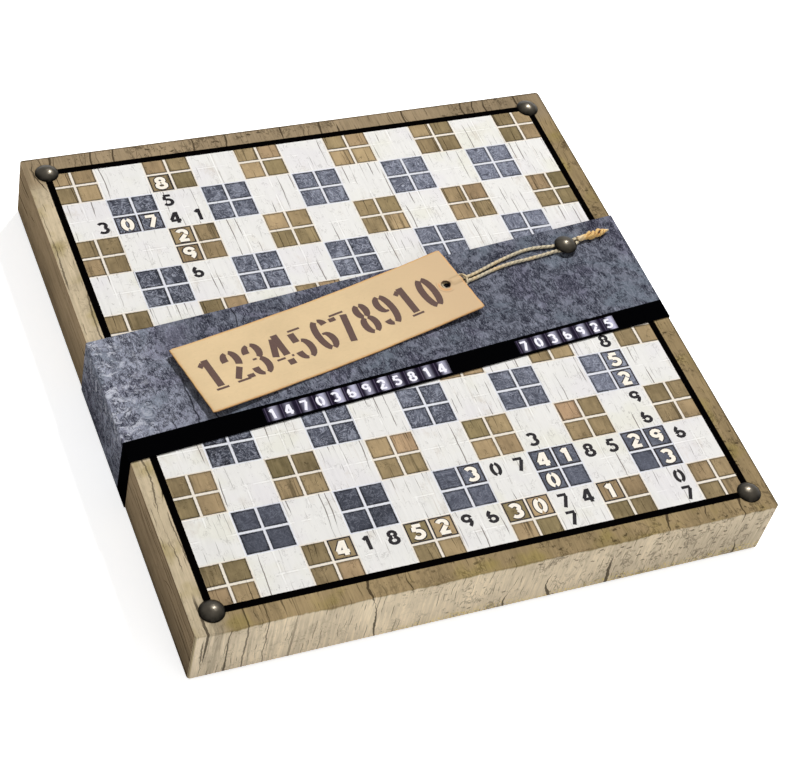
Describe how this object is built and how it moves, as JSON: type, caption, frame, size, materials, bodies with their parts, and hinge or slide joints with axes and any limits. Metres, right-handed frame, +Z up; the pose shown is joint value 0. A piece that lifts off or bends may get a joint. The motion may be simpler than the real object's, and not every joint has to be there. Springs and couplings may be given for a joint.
{
  "type": "word tile game case",
  "caption": "Flat square game box with a lift-off lid, sliding paper band, swinging tag, folded board, letter tiles, racks and pouch inside.",
  "frame": {"origin": "on the table, under the middle of the case", "axes": "+X to the right along the front edge, +Y to the back, +Z up"},
  "size_m": [0.2508, 0.25, 0.035],
  "materials": {
    "greyboard": "raw greyboard",
    "corner_tape": "kraft tape",
    "lid_paper": "printed wood grain and checks",
    "dark_pewter": "dark pewter, polished on top",
    "washer_steel": "plain steel",
    "band_paper": "printed slate grey with a black edge",
    "tag_card": "cream tag card with darker edges",
    "twine": "twisted jute twine",
    "base_paper": "printed wood grain",
    "game_board": "printed board",
    "hinge_cloth": "black book cloth",
    "insert_card": "white-lined card",
    "tile_wood": "sanded maple",
    "rack_wood": "oiled beech",
    "leaflet_paper": "uncoated paper",
    "pouch_cloth": "slate cotton"
  },
  "bodies": {
    "base": {"base_board": "greyboard", "base_corner_tapes": "corner_tape", "base_wrap": "base_paper", "base_bottom_sheet": "base_paper", "board_panel_1": "game_board", "board_panel_2": "game_board", "board_panel_3": "game_board", "board_panel_4": "game_board", "board_hinge_tape_1": "hinge_cloth", "board_hinge_tape_2": "hinge_cloth", "board_hinge_tape_3": "hinge_cloth", "insert_tray": "insert_card", "long_divider": "insert_card", "short_divider": "insert_card", "letter_tiles": "tile_wood", "tile_rack_1": "rack_wood", "tile_rack_2": "rack_wood", "tile_rack_3": "rack_wood", "tile_rack_4": "rack_wood", "rules_leaflet": "leaflet_paper", "tile_pouch": "pouch_cloth"},
    "lid": {"lid_board": "greyboard", "lid_corner_tapes": "corner_tape", "lid_wrap": "lid_paper", "corner_studs": "dark_pewter", "stud_washers": "washer_steel"},
    "band": {"band": "band_paper", "brad": "dark_pewter"},
    "tag": {"tag": "tag_card", "twine_loop": "twine", "twine_hitch": "twine", "twine_tail": "twine"}
  },
  "joints": [
    {"name": "lid_lift", "type": "slide", "parent": "base", "child": "lid", "axis": [0, 0, 1], "range_m": [0, 0.15]},
    {"name": "band_slide", "type": "slide", "parent": "lid", "child": "band", "axis": [0, 1, 0], "range_m": [-0.06, 0.06]},
    {"name": "tag_swing", "type": "hinge", "parent": "band", "child": "tag", "pos_m": [0.0953, 0.02757, 0.0315], "axis": [0, 0, 1], "range_deg": [-85, 70]}
  ]
}
